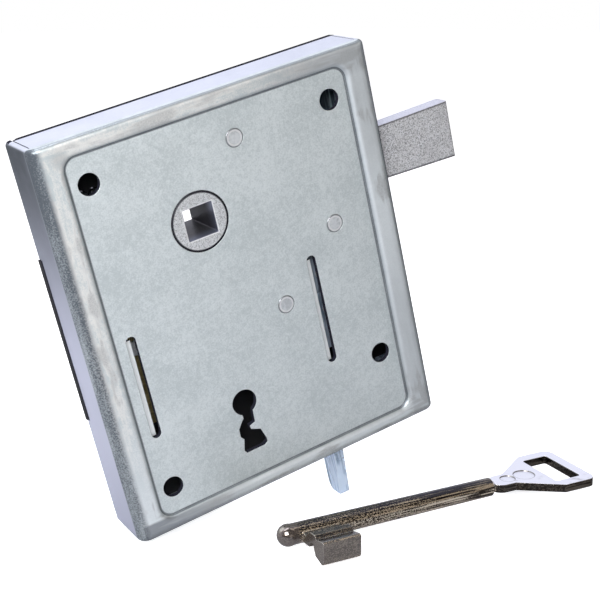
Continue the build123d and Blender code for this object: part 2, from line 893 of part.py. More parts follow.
def key():
    body = key_shank() + key_bow() + key_bit() - key_marks()
    place = Pos(key_ball_x, key_ball_y, key_ball_z)
    return place * Rot(0, key_tilt, 0) * Rot(0, 0, key_yaw) * body


def pieces():
    return {
        "case_shell": finished_case(),
        "cover_plate": cover_plate(),
        "latch_tail_post": post(tail_post_x, tail_post_z, post_width),
        "divider_post": post(divider_x, divider_z, divider_width),
        "lever_post": post(lever_post_x, lever_post_z, post_width),
        "follower": follower(),
        "latch_bolt": latch_bolt(),
        "latch_spring": latch_spring(),
        "latch_spring_stud": latch_spring_stud(),
        "tumbler_lever": tumbler_lever(),
        "tumbler_spring": tumbler_spring(),
        "deadbolt_tail": deadbolt_tail(),
        "deadbolt_head": deadbolt_head(),
        "deadbolt_rivets": deadbolt_rivets(),
        "lever_stump": lever_stump(),
        "bolt_guide_bracket": bolt_guide_bracket(),
        "bracket_rivets": bracket_rivets(),
        "night_bolt": night_bolt(),
        "night_bolt_stud": night_bolt_stud(),
        "night_bolt_spring": night_bolt_spring(),
        "key": key(),
    }


os.makedirs("parts", exist_ok=True)
to_frame = Pos(-spindle_x, -case_depth, -spindle_z)
for name, shape in pieces().items():
    export_step(to_frame * shape, f"parts/{name}.step")
    print(name, "written")
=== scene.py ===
# Rim box lock with its key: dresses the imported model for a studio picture. Blender 4.5.
import math

import bpy
import numpy as np
from mathutils import Matrix, Vector


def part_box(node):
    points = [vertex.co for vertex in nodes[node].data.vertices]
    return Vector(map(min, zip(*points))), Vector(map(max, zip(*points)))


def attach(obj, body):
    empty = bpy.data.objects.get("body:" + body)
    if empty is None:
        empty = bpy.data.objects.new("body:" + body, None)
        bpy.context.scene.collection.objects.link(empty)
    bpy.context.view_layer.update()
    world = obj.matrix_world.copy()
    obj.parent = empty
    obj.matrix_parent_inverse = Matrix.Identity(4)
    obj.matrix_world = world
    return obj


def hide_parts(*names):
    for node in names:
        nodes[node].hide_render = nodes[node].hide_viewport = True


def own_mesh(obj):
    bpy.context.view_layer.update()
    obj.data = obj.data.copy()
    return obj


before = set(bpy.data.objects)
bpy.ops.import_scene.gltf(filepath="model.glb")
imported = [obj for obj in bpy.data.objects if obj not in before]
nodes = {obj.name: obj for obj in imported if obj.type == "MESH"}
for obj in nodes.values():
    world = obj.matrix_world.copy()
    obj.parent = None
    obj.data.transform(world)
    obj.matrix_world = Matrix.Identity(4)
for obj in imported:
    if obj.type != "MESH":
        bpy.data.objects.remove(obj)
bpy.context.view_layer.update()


print("frame loaded:", len(nodes), "nodes")


class Wire:
    # one output of a node tree; the Python operators on it add Math nodes
    def __init__(self, finish, socket):
        self.finish = finish
        self.socket = socket

    def maths(self, operation, other=0.0):
        return self.finish.node("ShaderNodeMath", {"operation": operation}, {0: self, 1: other})

    def __add__(self, other):
        return self.maths("ADD", other)

    def __sub__(self, other):
        return self.maths("SUBTRACT", other)

    def __rsub__(self, other):
        return self.finish.node("ShaderNodeMath", {"operation": "SUBTRACT"}, {0: other, 1: self})

    def __mul__(self, other):
        return self.maths("MULTIPLY", other)

    def __pow__(self, other):
        return self.maths("POWER", other)

    def __neg__(self):
        return self.maths("MULTIPLY", -1.0)

    def __abs__(self):
        return self.maths("ABSOLUTE")

    __radd__ = __add__
    __rmul__ = __mul__

    def least(self, other):
        return self.maths("MINIMUM", other)

    def most(self, other):
        return self.maths("MAXIMUM", other)

    def clamped(self):
        return self.finish.node("ShaderNodeClamp", {}, {"Value": self})

    def above(self, low, high):
        # 0 below low, 1 above high, smooth between
        band = {"Value": self, "From Min": low, "From Max": high}
        return self.finish.node("ShaderNodeMapRange", {"interpolation_type": "SMOOTHSTEP"}, band)

    def below(self, low, high):
        return 1.0 - self.above(low, high)


class Finish:
    # the node tree of a material or a world, built by calls that return wires
    def __init__(self, name, world=False):
        self.owner = bpy.data.worlds.new(name) if world else bpy.data.materials.new(name)
        self.owner.use_nodes = True
        self.tree = self.owner.node_tree
        self.tree.nodes.clear()
        self.place = self.node("ShaderNodeTexCoord", {}, {}, "Generated" if world else "Object")
        self.normal = None if world else self.node("ShaderNodeNewGeometry", {}, {}, "Normal")

    def node(self, kind, settings, inputs, output=0):
        # settings first, then a value or a wire for each input; several outputs give a list of wires
        made = self.tree.nodes.new(kind)
        for key, value in settings.items():
            setattr(made, key, value)
        for key, value in inputs.items():
            socket = made.inputs[key]
            if isinstance(value, Wire):
                self.tree.links.new(value.socket, socket)
            elif isinstance(value, tuple) and socket.type == "RGBA":
                socket.default_value = (*value, 1.0)
            else:
                socket.default_value = value
        if isinstance(output, tuple):
            return [Wire(self, made.outputs[key]) for key in output]
        return Wire(self, made.outputs[output]) if made.outputs else None

    def stretched(self, scale):
        # object coordinates, scaled by three factors
        return self.node("ShaderNodeMapping", {}, {"Vector": self.place, "Scale": scale})

    def noise(self, scale, detail, rough, distortion=0.0, where=None):
        values = {"Scale": scale, "Detail": detail, "Roughness": rough, "Distortion": distortion}
        return self.node("ShaderNodeTexNoise", {}, {"Vector": where or self.place, **values})

    def grains(self, scale):
        # close cells: how far a point is from its cell's middle, and a random shade for each cell
        cells = {"Vector": self.place, "Scale": scale, "Randomness": 1.0}
        distance, shade = self.node("ShaderNodeTexVoronoi", {"feature": "F1"}, cells, ("Distance", "Color"))
        return distance, self.parts(shade)[0]

    def blend(self, amount, first, second):
        return self.node("ShaderNodeMix", {"data_type": "RGBA"}, {0: amount, 6: first, 7: second}, 2)

    def layered(self, colour, layers):
        # each colour lies over those before it, by its own amount
        for amount, layer in layers:
            colour = self.blend(amount, colour, layer)
        return colour

    def parts(self, vector):
        return self.node("ShaderNodeSeparateXYZ", {}, {0: vector}, (0, 1, 2))

    def reach(self, vector, direction):
        # how far a vector goes along a direction
        both = {0: vector, 1: direction}
        return self.node("ShaderNodeVectorMath", {"operation": "DOT_PRODUCT"}, both, "Value")

    def faceNormal(self):
        # the normal as the object sees it, the same from every side
        settings = {"vector_type": "NORMAL", "convert_from": "WORLD", "convert_to": "OBJECT"}
        return self.node("ShaderNodeVectorTransform", settings, {"Vector": self.normal})

    def softEdge(self, radius):
        # normal with the edges rounded by a small radius
        return self.node("ShaderNodeBevel", {"samples": 4}, {"Radius": radius}, "Normal")

    def edgeMask(self, rounded, low=0.02, high=0.16):
        # where the rounded normal leaves the true one
        return (1.0 - self.reach(rounded, self.normal)).above(low, high)

    def bump(self, height, distance, strength, normal=None):
        values = {"Height": height, "Distance": distance, "Strength": strength}
        if normal is not None:
            values["Normal"] = normal
        return self.node("ShaderNodeBump", {}, values, "Normal")

    def close(self, sockets, grime=None, grimeColour=(0.0, 0.0, 0.0)):
        # the painted shade, where given, is how much of the surface is painted as dull dark shade, without any
        # gloss
        shader = self.node("ShaderNodeBsdfPrincipled", {}, sockets, "BSDF")
        if grime is not None:
            dull = self.node("ShaderNodeBsdfDiffuse", {}, {"Color": grimeColour}, "BSDF")
            shader = self.node("ShaderNodeMixShader", {}, {0: grime, 1: shader, 2: dull})
        self.node("ShaderNodeOutputMaterial", {}, {"Surface": shader})
        return self.owner


def weighted(wires, shares):
    # the wires added up, each times its share
    first, *others = [wire * share for wire, share in zip(wires, shares)]
    return sum(others, first)


def radial(first, second):
    # distance from an axis, from the distances measured along two sides
    return (first ** 2.0 + second ** 2.0) ** 0.5


# noises are given as scale, detail, roughness and, where set, distortion; a pair of numbers beside a mask
# is the band in which it goes from none to full; lengths are in metres
sheetLook = {
    "light": (0.72, 0.77, 0.775),
    "dark": (0.56, 0.615, 0.62),
    # painted light: the warm tone of the rim's lit top and left
    "rim": (0.84, 0.83, 0.79),
    "smudge": (0.40, 0.41, 0.41),
    # painted shade: the dark reflection laid on the bends, along the right outline and in the panel's step
    "bend": (0.11, 0.125, 0.14),
    # painted shade on the left wall, with shade darker still on its upper half, and a painted sky reflection on
    # the top wall
    "sideWall": (0.46, 0.465, 0.56),
    "topWall": (0.66, 0.67, 0.78),
    # painted shade: the darker rim at the right of its top, the left of its bottom and up and down its right
    # side
    "coolRim": (0.30, 0.32, 0.34),
    "paleRim": (0.84, 0.88, 0.90),
    "shade": (0.03, 0.035, 0.045),
    # painted highlight: the light flat of the louvres' pressed-in lips
    "strip": (0.90, 0.93, 0.92),
    "edgeTint": (0.5, 0.51, 0.56),
    # painted shade: near black for the punched edges, the seam and the dull dark mix
    "punched": (0.02, 0.02, 0.03),
    # painted shade: near black for the faces inside the case
    "inside": (0.07, 0.07, 0.075),
    # the inner sheet: a dark base with streaks of painted highlight
    "inner": (0.20, 0.27, 0.34),
    "glint": (0.80, 0.95, 1.0),
    "rubbed": (0.86, 0.87, 0.88),
    "metallic": 0.7,
    "roughness": 0.46,
    "roughSpread": 0.3,
    "edgeRadius": 0.0003,
    "bump": (0.00003, 0.5),
    "bumpShares": (0.4, 0.6),
    # the zinc's own pattern
    "cloud": (70.0, 3.0, 0.55),
    "flake": (650.0, 3.0, 0.6, 0.5),
    "grain": (2600.0, 2.0, 0.6),
    "toneShares": (0.3, 0.3, 0.4),
    "mottle": (0.38, 0.62),
    "wornFlake": 1.2,
    "innerDrawn": (900.0, 2.0, 0.5),
    "innerStretch": (1.0, 1.0, 0.05),
    "innerMottle": (0.5, 0.6),
    # lines drawn along the rim, the smudges on it and the painted shade on the bends
    "lines": (420.0, 3.0, 0.6),
    "sideStretch": (1.0, 1.0, 0.18),
    "endStretch": (0.14, 1.0, 1.0),
    "rimMottle": (0.4, 0.56),
    "smudgeBand": (0.0, 0.08),
    "smudgeGrain": 1.4,
    "spotLines": 1.3,
    "coolBase": 0.4,
    "wallBase": 0.5,
    "bendLines": 0.9,
    "bendGrain": (0.35, 0.65),
    "bendGrainShare": 0.35,
    "bendBase": 0.15,
    "bendUpper": 0.25,
    "stepBase": 0.7,
    "stepCloud": 0.5,
    # outer planes of the case, and the floor of its recessed panel
    "leftWall": -0.0369,
    "rightWall": 0.05485,
    "floorWall": -0.0755,
    "topWallPlane": 0.0301,
    "panelMiddle": (0.008775, -0.022925),
    "panelHalf": (0.038225, 0.048475),
    "panelCorner": 0.0033,
    # bands by depth, by distance from a wall, by place and by how far a face looks one way
    "rimDepth": (-0.0163, -0.0158),
    "insideDepth": (-0.0143, -0.0141),
    "seamDepth": (-0.0022, -0.0018),
    "wallDepth": (-0.0142, -0.0132),
    "stripFront": (-0.0150, -0.0148),
    "stripBack": (-0.0142, -0.0140),
    "leftBend": (0.00176, 0.00352),
    "rightEdge": (0.0009, 0.0014),
    "rightBend": (0.0015, 0.0024),
    "endLip": (0.0003, 0.0008),
    "lowerBend": (0.0008, 0.0022),
    "outerFace": (0.0002, 0.0005),
    "panelSides": (0.0060, 0.0064),
    "panelEnds": (0.004, 0.0045),
    "stepLine": (0.00015, 0.0005),
    "rollOuter": (0.0, 0.0013),
    "rollInner": (-0.0002, 0.0),
    "tongueLow": (-0.0445, -0.0441),
    "tongueHigh": (-0.0002, 0.0002),
    "upperHalf": (-0.03, 0.03),
    "endRim": (-0.001, 0.001),
    "topRim": (0.02, 0.024),
    "bottomRim": (-0.0715, -0.0705),
    "rightRim": (0.0065, 0.0075),
    "coolTop": (0.012, 0.04),
    "coolBottom": (-0.03, 0.0),
    "coolRightLow": (-0.05, -0.02),
    "coolRightHigh": (-0.015, 0.015),
    "warmLeft": (-0.033, -0.025),
    "warmLeftAbove": (-0.07, -0.03),
    "warmTop": (0.03, 0.05),
    "spotMiddle": (-0.0300, 0.0262),
    "spot": (0.0006, 0.0034),
    "looksFront": (0.06, 0.2),
    "looksSquare": (0.5, 0.8),
    "looksInside": (0.2, 0.5),
    "looksUpright": (0.3, 0.5),
    "looksAway": (-0.1, 0.0),
    "shares": {  # how strongly each mask lays its colour on
        "worn": 0.5, "paleRim": 0.6, "warmRim": 0.85, "smudge": 0.75, "sideWall": 0.85, "topWall": 0.7,
        "seam": 0.95, "punched": 0.95, "grime": 0.9, "rightEdge": 0.8, "rightBend": 0.62, "endLip": 0.75,
        "lowerBend": 0.6, "edgeGrime": 0.7, "stepLine": 0.95, "roll": 0.55,
        "coolTop": 0.55, "coolBottom": 1.3, "coolRight": 0.34,
    },
}


def panelDistance(x, z):
    # how far a point is outside the round-cornered edge of the panel's floor
    corner = sheetLook["panelCorner"]
    (middleX, middleZ), (halfX, halfZ) = sheetLook["panelMiddle"], sheetLook["panelHalf"]
    awayX = abs(x - middleX) - (halfX - corner)
    awayZ = abs(z - middleZ) - (halfZ - corner)
    outside = radial(awayX.most(0.0), awayZ.most(0.0))
    return outside + awayX.most(awayZ).least(0.0) - corner


def caseMasks(finish):
    # where a point lies on the case: its rim, walls and bends, the panel's step, and punched edges inside it;
    # these masks lay the painted shade, painted light and painted reflection
    look, shares = sheetLook, sheetLook["shares"]
    x, y, z = finish.parts(finish.place)
    across, along, up = finish.parts(finish.faceNormal())
    left = x - look["leftWall"]
    right = look["rightWall"] - x
    bottom = z - look["floorWall"]
    side = left.least(right)
    end = bottom.least(look["topWallPlane"] - z)

    front = (-along).above(*look["looksFront"])
    # painted shade along the front's bends, strongest on the left, and a dark line along the right outline
    edge = right.below(*look["rightEdge"])
    bend = left.below(*look["leftBend"]) * front
    bend = bend.most(edge * front * shares["rightEdge"])
    bend = bend.most(right.below(*look["rightBend"]) * shares["rightBend"] * front)
    bend = bend.most(end.below(*look["endLip"]) * front * shares["endLip"])
    bend = bend.most(bottom.below(*look["lowerBend"]) * front * shares["lowerBend"])

    inside = side.above(*look["panelSides"]) * end.above(*look["panelEnds"])
    # painted shade on the walls of the holes and slots punched through the panel
    punched = inside * abs(along).below(*look["looksUpright"])
    # painted shade: a dark line in the concave edge of the panel's floor, fading up its roll
    distance = panelDistance(x, z)
    line = abs(distance).below(*look["stepLine"])
    roll = distance.below(*look["rollOuter"]) * distance.above(*look["rollInner"])
    # painted highlight on the front-facing flat of the louvres' pressed-in lips
    strip = y.above(*look["stripFront"]) * y.below(*look["stripBack"])

    outside = side.least(end).below(*look["outerFace"])
    # painted shade on the outer face of the side wall and a painted sky reflection on the top wall
    walls = outside * y.above(*look["wallDepth"])
    top = up.above(*look["looksSquare"])
    tongue = z.above(*look["tongueLow"]) * z.below(*look["tongueHigh"]) * left.below(*look["outerFace"])
    # painted shade in the gap along the seam with the cover, on the top wall and on the left wall beside the
    # cover's tab
    seam = y.above(*look["seamDepth"]) * (top * outside).most(tongue)
    # painted shade on the right outline where it turns away
    edgeGrime = edge * along.below(*look["looksAway"]) * shares["edgeGrime"]

    topRim = z.above(*look["topRim"])
    # painted shade on the rim: the right of its top, the left of its bottom, and the right side above and below
    # its middle
    cool = x.above(*look["coolTop"]) * topRim * shares["coolTop"]
    cool = cool.most(x.below(*look["coolBottom"]) * z.below(*look["bottomRim"]) * shares["coolBottom"])
    upAndDown = z.below(*look["coolRightLow"]).most(z.above(*look["coolRightHigh"]))
    cool = cool.most(right.below(*look["rightRim"]) * upAndDown * shares["coolRight"])
    # painted light: a warm tone on the rim's top and left, the sides the light falls on
    warm = x.below(*look["warmLeft"]) * z.above(*look["warmLeftAbove"])
    spotX, spotZ = look["spotMiddle"]
    return {
        "rim": y.below(*look["rimDepth"]),
        "endRim": (side - end).above(*look["endRim"]),
        "warmRim": warm.most(topRim * x.below(*look["warmTop"])),
        "coolRim": cool,
        "spot": radial(x - spotX, z - spotZ).below(*look["spot"]),
        "bend": bend,
        "step": (line * shares["stepLine"]).most(roll * shares["roll"]),
        "strip": inside * strip * (-along).above(*look["looksSquare"]),
        "punched": punched,
        # painted shade on the faces that look into the case
        "within": y.above(*look["insideDepth"]) * along.above(*look["looksInside"]),
        "topWall": walls * top,
        "sideWall": walls * (-across).above(*look["looksSquare"]),
        "upper": z.above(*look["upperHalf"]),
        "seam": seam,
        "grime": seam.most(punched).most(edgeGrime),
    }


def galvanisedSheet(name, folded):
    # zinc at three sizes; on the folded case also the rim, the walls, the bends, the step and punched edges,
    # with painted shade, painted light and painted reflection laid on them; elsewhere streaks of painted
    # highlight
    finish, look, shares = Finish(name), sheetLook, sheetLook["shares"]
    cloud, flake, grain = (finish.noise(*look[size]) for size in ("cloud", "flake", "grain"))
    tone = weighted((cloud, flake, grain), look["toneShares"])
    colour = finish.blend(tone.above(*look["mottle"]), look["dark"], look["light"])
    rounded = finish.softEdge(look["edgeRadius"])
    worn = finish.edgeMask(rounded) * (flake * look["wornFlake"]).clamped() * shares["worn"]
    grime = None
    if folded:
        masks = caseMasks(finish)
        rim = masks["rim"]
        sideLines = finish.noise(*look["lines"], where=finish.stretched(look["sideStretch"]))
        endLines = finish.noise(*look["lines"], where=finish.stretched(look["endStretch"]))
        lines = sideLines + (endLines - sideLines) * masks["endRim"]
        rimTone = finish.blend(
            weighted((tone, lines), (0.5, 0.5)).above(*look["rimMottle"]), look["dark"], look["rim"]
        )
        smears = (weighted((lines, cloud), (0.5, 0.5)) - 0.5).above(*look["smudgeBand"])
        smudge = rim * smears * (grain * look["smudgeGrain"]).clamped()
        smudge = smudge.most(rim * masks["spot"] * (lines * look["spotLines"]).clamped())
        # painted shade on the upper half of the side wall
        wallShade = masks["upper"] * (look["wallBase"] + cloud).clamped()
        # painted shade on the bends, mottled by the lines and darker on the upper half
        bendTone = lines * look["bendLines"] + grain.above(*look["bendGrain"]) * look["bendGrainShare"]
        bendTone = (bendTone + look["bendBase"] + masks["upper"] * look["bendUpper"]).clamped()
        colour = finish.layered(colour, [
            (rim * shares["paleRim"], look["paleRim"]),
            # painted light on the rim's lit top and left, mottled by the lines
            (rim * masks["warmRim"] * shares["warmRim"], rimTone),
            (rim * masks["coolRim"] * (look["coolBase"] + lines).clamped(), look["coolRim"]),
            (smudge * shares["smudge"], look["smudge"]),
            (masks["sideWall"] * shares["sideWall"], finish.blend(wallShade, look["sideWall"], look["shade"])),
            (masks["topWall"] * shares["topWall"], look["topWall"]),
            (masks["bend"] * bendTone, look["bend"]),
            (masks["strip"], look["strip"]),
            # painted shade on the panel's step, in the bends' dark colour
            (masks["step"] * (look["stepBase"] + cloud * look["stepCloud"]), look["bend"]),
            (masks["seam"] * shares["seam"], look["punched"]),
            (worn, look["rubbed"]),
            (masks["within"], look["inside"]),
            (masks["punched"] * shares["punched"], look["punched"]),
        ])
        # painted shade: the seam, the punched edges and the right outline turn dull and dark
        grime = masks["grime"] * shares["grime"]
    else:
        # painted highlight: bright streaks running up the inner sheet
        drawn = finish.noise(*look["innerDrawn"], where=finish.stretched(look["innerStretch"]))
        colour = finish.blend(drawn.above(*look["innerMottle"]), look["inner"], look["glint"])
        colour = finish.blend(worn, colour, look["rubbed"])
    height = weighted((flake, grain), look["bumpShares"])
    return finish.close(
        {
            "Base Color": colour,
            "Metallic": look["metallic"],
            "Specular Tint": look["edgeTint"],
            "Roughness": (tone - 0.5) * look["roughSpread"] + look["roughness"],
            "Normal": finish.bump(height, *look["bump"], rounded),
        },
        grime,
        look["punched"],
    )


coverLook = {
    "face": (0.66, 0.70, 0.71),
    "haze": (0.54, 0.58, 0.59),
    # painted shade for the face towards the works
    "inside": (0.07, 0.07, 0.075),
    "sheared": (0.012, 0.01, 0.012),
    "cloud": (60.0, 4.0, 0.6),
    "grain": (2200.0, 2.0, 0.6),
    "mottle": (0.38, 0.62),
    "looksSide": (0.3, 0.6),
    "shearedBase": 0.85,
    "shearedGrain": 0.3,
    "metallic": 0.7,
    "roughness": 0.46,
    "roughSpread": 0.3,
    "shearedRough": 0.35,
    "specular": 0.1,
    "bump": (0.00003, 0.5),
}


def coverSheet():
    # the same zinc towards the door, painted shade on the face towards the works, with dark sheared edges
    finish, look = Finish("coverSheet"), coverLook
    cloud, grain = finish.noise(*look["cloud"]), finish.noise(*look["grain"])
    along = finish.parts(finish.faceNormal())[1]
    sheared = abs(along).below(*look["looksSide"])
    tone = weighted((cloud, grain), (0.5, 0.5))
    colour = finish.blend(tone.above(*look["mottle"]), look["haze"], look["face"])
    colour = finish.layered(colour, [
        # painted shade on the face that looks into the case
        ((-along).above(*look["looksSide"]), look["inside"]),
        (sheared * (look["shearedBase"] + grain * look["shearedGrain"]).clamped(), look["sheared"]),
    ])
    roughness = look["roughness"] + (tone - 0.5) * look["roughSpread"]
    return finish.close(
        {
            "Base Color": colour,
            "Metallic": (1.0 - sheared) * look["metallic"],
            "Roughness": roughness + sheared * look["shearedRough"],
            "Specular IOR Level": look["specular"],
            "Normal": finish.bump(grain, *look["bump"]),
        }
    )


castLook = {
    "body": (0.86, 0.86, 0.87),
    "pit": (0.30, 0.30, 0.31),
    "spark": (0.93, 0.94, 0.97),
    "grains": 5600.0,
    "patch": (330.0, 3.0, 0.6),
    "lumps": (3000.0, 3.0, 0.7),
    "pitShares": (0.65, 0.35),
    "pits": (0.32, 0.54),
    "sparkGrains": (0.66, 0.86),
    "sparkPatches": (0.36, 0.6),
    "metallic": 0.7,
    "roughness": 0.4,
    "roughSpread": 0.2,
    "edgeRadius": 0.0006,
    "bump": (0.00004, 0.6),
    "bumpShares": (0.7, 0.3),
    # the latch: painted shade with a bluish tint on its top, and painted shade along the outline of its bar
    "top": (0.52, 0.53, 0.63),
    "topShare": 0.7,
    "looksUp": (0.5, 0.8),
    "looksFront": (0.4, 0.8),
    "barTop": 0.0058,
    "barTip": 0.0786,
    "barRoot": (0.05485, -0.0085),
    "barFlare": 0.0505,
    "outline": (0.00025, 0.0006),
    "outlineBase": 0.4,
    "outlineShare": 0.8,
    # the hub: painted shade deep in its square bore, with painted light near the mouth and on the upper wall, a
    # painted highlight on the lip of the bore, and painted shade on the groove round the hub
    "hub": (0.50, 0.53, 0.53),
    "hubShare": 0.4,
    "rub": (0.84, 0.85, 0.88),
    "rubBand": (0.01, 0.08),
    "rubShare": 0.6,
    "lip": (1.0, 1.0, 1.0),
    "lipBand": (0.00402, 0.0046),
    "lipShare": 0.9,
    "bore": (0.01, 0.009, 0.014),
    "boreLight": (0.16, 0.18, 0.26),
    "boreTop": (0.50, 0.54, 0.70),
    "boreBand": (0.00402, 0.00412),
    "boreDepth": (-0.0165, -0.0105),
    "boreTopHeight": (0.0, 0.0032),
    "boreTopShare": 0.7,
    "boreShare": 0.95,
    "boreCorner": (-0.0039, -0.0036),
    "boreGrime": 0.45,
    "groove": (0.0070, 0.00725),
    "grooveDepth": (-0.0148, -0.0146),
    "grooveGrime": 0.95,
}


def latchFinish(finish, colour, grain):
    look = castLook
    x, y, z = finish.parts(finish.place)
    along, up = finish.parts(finish.faceNormal())[1:]
    # painted shade with a bluish tint on the upward faces
    colour = finish.blend(up.above(*look["looksUp"]) * look["topShare"], colour, look["top"])
    rootX, rootZ = look["barRoot"]
    # painted shade: a dull dark band along the top, the tip and the lower edge of the bar's front
    lower = z - rootZ + (x - rootX) * look["barFlare"]
    margin = (look["barTop"] - z).least(look["barTip"] - x).least(lower)
    outline = margin.below(*look["outline"]) * (-along).above(*look["looksFront"])
    return colour, outline * (look["outlineBase"] + grain).clamped() * look["outlineShare"]


def hubFinish(finish, colour, rounded):
    look = castLook
    x, y, z = finish.parts(finish.place)
    reach = abs(x).most(abs(z))
    # painted shade deep in the square bore, painted light near its mouth and on its upper wall
    bore = reach.below(*look["boreBand"])
    deep = y.above(*look["boreDepth"])
    wall = finish.blend(deep, look["boreLight"], look["bore"])
    topLight = (1.0 - deep) * z.above(*look["boreTopHeight"]) * look["boreTopShare"]
    wall = finish.blend(topLight, wall, look["boreTop"])
    colour = finish.layered(colour, [
        (finish.edgeMask(rounded, *look["rubBand"]) * look["rubShare"], look["rub"]),
        (look["hubShare"], look["hub"]),
        # painted highlight round the mouth of the bore
        (reach.below(*look["lipBand"]) * look["lipShare"], look["lip"]),
        (bore * look["boreShare"], wall),
    ])
    # painted shade on the chamfer round the hub, dull and dark
    groove = radial(x, z).above(*look["groove"]) * y.below(*look["grooveDepth"])
    # painted shade: the bore's walls turn dull and dark, all but the lower and left ones
    lower = bore * z.above(*look["boreCorner"]) * x.above(*look["boreCorner"]) * look["boreGrime"]
    return colour, lower.most(groove * look["grooveGrime"])


def zincCasting(name, hub):
    # grains about a fifth of a millimetre, some bright, with darker pits
    finish, look = Finish(name), castLook
    grain, shade = finish.grains(look["grains"])
    patch, lumps = finish.noise(*look["patch"]), finish.noise(*look["lumps"])
    pits = weighted((lumps, shade), look["pitShares"]).above(*look["pits"])
    sparks = shade.above(*look["sparkGrains"]) * patch.above(*look["sparkPatches"])
    colour = finish.blend(sparks, finish.blend(pits, look["pit"], look["body"]), look["spark"])
    rounded = finish.softEdge(look["edgeRadius"])
    colour, grime = hubFinish(finish, colour, rounded) if hub else latchFinish(finish, colour, grain)
    height = weighted((lumps, grain), look["bumpShares"])
    return finish.close(
        {
            "Base Color": colour,
            "Metallic": look["metallic"],
            "Roughness": look["roughness"] + (patch - 0.5) * look["roughSpread"],
            "Normal": finish.bump(height, *look["bump"], rounded),
        },
        grime,
        look["bore"],
    )


platedLook = {
    "body": (0.72, 0.84, 1.0),
    "streak": (0.30, 0.40, 0.52),
    "edge": (0.90, 0.94, 1.0),
    "edgeShare": 0.6,
    "drag": (900.0, 3.0, 0.6),
    "dragStretch": (1.0, 1.0, 0.07),
    "haze": (70.0, 3.0, 0.5),
    "streakShares": (0.8, 0.2),
    "streaks": (0.46, 0.62),
    "metallic": 0.6,
    "roughness": 0.28,
    "roughSpread": 0.25,
    "edgeRadius": 0.0003,
    "bump": (0.00002, 0.4),
}


def platedSteel():
    # bright zinc plate with drag lines from the press
    finish, look = Finish("platedSteel"), platedLook
    drag = finish.noise(*look["drag"], where=finish.stretched(look["dragStretch"]))
    haze = finish.noise(*look["haze"])
    streaks = weighted((drag, haze), look["streakShares"]).above(*look["streaks"])
    colour = finish.blend(streaks, look["body"], look["streak"])
    rounded = finish.softEdge(look["edgeRadius"])
    return finish.close(
        {
            "Base Color": finish.blend(finish.edgeMask(rounded) * look["edgeShare"], colour, look["edge"]),
            "Metallic": look["metallic"],
            "Roughness": look["roughness"] + (haze - 0.5) * look["roughSpread"],
            "Normal": finish.bump(drag, *look["bump"], rounded),
        }
    )


turnedLook = {
    "body": (0.84, 0.87, 0.88),
    "patch": (0.64, 0.67, 0.68),
    "fineNoise": (1400.0, 3.0, 0.6),
    "patchNoise": (300.0, 2.0, 0.5),
    "patches": (0.38, 0.6),
    "metallic": 0.8,
    "roughness": 0.4,
    "roughSpread": 0.2,
    "edgeRadius": 0.0003,
    "bump": (0.00002, 0.4),
    # the riveted ends of the three posts: their axes, across and up, and the painted shade line and painted
    # highlight ring round them
    "posts": ((0.0139, 0.017), (0.036, -0.0134), (0.0175, -0.0293)),
    "grooveRadius": 0.00222,
    "groove": (0.16, 0.17, 0.18),
    "grooveBand": (0.000056, 0.000182),
    "ring": (1.0, 1.0, 1.0),
    "ringGap": 0.0004,
    "ringBand": (0.0001, 0.0003),
    "markShare": 0.8,
}


def turnedSteel(name, riveted):
    # dull pins and rivets: fine noise and patches, with a painted shade line and a painted highlight ring on a
    # riveted end
    finish, look = Finish(name), turnedLook
    fine, patch = finish.noise(*look["fineNoise"]), finish.noise(*look["patchNoise"])
    patches = weighted((fine, patch), (0.5, 0.5)).above(*look["patches"])
    colour = finish.blend(patches, look["patch"], look["body"])
    if riveted:
        x, y, z = finish.parts(finish.place)
        first, second, third = (radial(x - postX, z - postZ) for postX, postZ in look["posts"])
        beyond = first.least(second).least(third) - look["grooveRadius"]
        # painted shade in a thin line round each riveted end, and a painted highlight ring just inside it
        colour = finish.layered(colour, [
            (abs(beyond).below(*look["grooveBand"]) * look["markShare"], look["groove"]),
            (abs(beyond + look["ringGap"]).below(*look["ringBand"]) * look["markShare"], look["ring"]),
        ])
    rounded = finish.softEdge(look["edgeRadius"])
    return finish.close(
        {
            "Base Color": colour,
            "Metallic": look["metallic"],
            "Roughness": look["roughness"] + (patch - 0.5) * look["roughSpread"],
            "Normal": finish.bump(fine, *look["bump"], rounded),
        }
    )


wireLook = {
    "body": (0.34, 0.35, 0.38),
    "line": (0.22, 0.22, 0.24),
    "lines": (700.0, 2.0, 0.5),
    "lineBand": (0.4, 0.62),
    "metallic": 1.0,
    "roughness": 0.24,
    "roughSpread": 0.2,
    "bump": (0.00001, 0.3),
}


def springWire():
    # drawn wire, faintly clouded
    finish, look = Finish("springWire"), wireLook
    lines = finish.noise(*look["lines"])
    return finish.close(
        {
            "Base Color": finish.blend(lines.above(*look["lineBand"]), look["line"], look["body"]),
            "Metallic": look["metallic"],
            "Roughness": look["roughness"] + (lines - 0.5) * look["roughSpread"],
            "Normal": finish.bump(lines, *look["bump"]),
        }
    )


brassLook = {
    "body": (0.90, 0.76, 0.40),
    "dull": (0.55, 0.46, 0.22),
    "patch": (160.0, 4.0, 0.6),
    "press": (80.0, 2.0, 0.5),
    "pressStretch": (1.0, 1.0, 14.0),
    "dullShares": (0.7, 0.3),
    "dullBand": (0.4, 0.62),
    "metallic": 0.95,
    "roughness": 0.34,
    "roughSpread": 0.25,
    "edgeRadius": 0.0002,
    "bump": (0.00002, 0.4),
}


def leverBrass():
    # stamped brass, dulled in patches, with press lines
    finish, look = Finish("leverBrass"), brassLook
    patch = finish.noise(*look["patch"])
    press = finish.noise(*look["press"], where=finish.stretched(look["pressStretch"]))
    dull = weighted((patch, press), look["dullShares"]).above(*look["dullBand"])
    return finish.close(
        {
            "Base Color": finish.blend(dull, look["body"], look["dull"]),
            "Metallic": look["metallic"],
            "Roughness": look["roughness"] + (patch - 0.5) * look["roughSpread"],
            "Normal": finish.bump(press, *look["bump"], finish.softEdge(look["edgeRadius"])),
        }
    )


